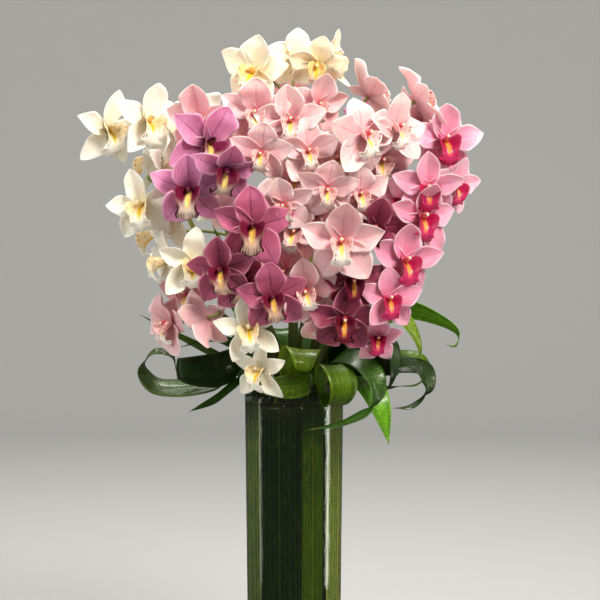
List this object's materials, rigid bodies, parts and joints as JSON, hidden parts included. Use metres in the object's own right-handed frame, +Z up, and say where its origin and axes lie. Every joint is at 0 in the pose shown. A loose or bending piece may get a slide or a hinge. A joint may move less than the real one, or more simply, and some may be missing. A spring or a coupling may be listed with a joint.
{
  "type": "orchid stems in vase",
  "caption": "Cymbidium orchid sprays in a tall clear glass cylinder vase, over a collar of looped strap leaves and with leaves lining the glass.",
  "frame": {"origin": "centre of the vase's foot, on the surface it stands on", "axes": "+Z up along the vase, -Y toward the front of the arrangement, +X to the right as seen from the front"},
  "size_m": [0.5022, 0.339, 0.8685],
  "materials": {
    "glass": "clear polished glass",
    "water": "clear water",
    "leaf": "waxy strap leaf",
    "leaf_under_water": "wet leaf against the glass",
    "petal_white": "waxy petal",
    "petal_cream": "waxy petal",
    "petal_magenta": "waxy petal",
    "petal_blush": "waxy petal",
    "petal_rose": "waxy petal",
    "petal_plum": "waxy petal"
  },
  "bodies": {
    "root": {"leaf_across_front": "leaf", "leaf_among_blooms": "leaf", "leaf_arch_right": "leaf", "leaf_back_1": "leaf", "leaf_back_2": "leaf", "leaf_back_3": "leaf", "leaf_back_4": "leaf", "leaf_band_front": "leaf", "leaf_band_right": "leaf", "leaf_fold_front": "leaf", "leaf_hanging_right": "leaf", "leaf_long_right": "leaf", "leaf_point_right": "leaf", "leaf_ring_left": "leaf", "leaf_ring_right": "leaf", "leaf_roll_front": "leaf", "leaf_roll_left": "leaf", "leaf_shelf_left": "leaf", "leaf_striped_right": "leaf", "leaf_tip_far_left": "leaf", "leaf_tip_left": "leaf", "leaf_tuck_right": "leaf", "liner_back": "leaf_under_water", "liner_back_left": "leaf_under_water", "liner_back_right": "leaf_under_water", "liner_bright_front": "leaf_under_water", "liner_dark_front": "leaf_under_water", "liner_inner_front": "leaf_under_water", "liner_left": "leaf_under_water", "liner_right": "leaf_under_water", "spray_back_blush": "petal_blush", "spray_back_magenta": "petal_magenta", "spray_back_white": "petal_white", "spray_blush_centre": "petal_blush", "spray_blush_front": "petal_blush", "spray_blush_heart": "petal_blush", "spray_blush_left": "petal_blush", "spray_blush_low": "petal_blush", "spray_blush_right": "petal_blush", "spray_cream_top": "petal_cream", "spray_magenta_high": "petal_magenta", "spray_magenta_low": "petal_magenta", "spray_plum_right": "petal_plum", "spray_rose_low": "petal_rose", "spray_rose_right": "petal_rose", "spray_white_left": "petal_white", "spray_white_low": "petal_white", "vase": "glass", "water": "water"}
  },
  "joints": []
}
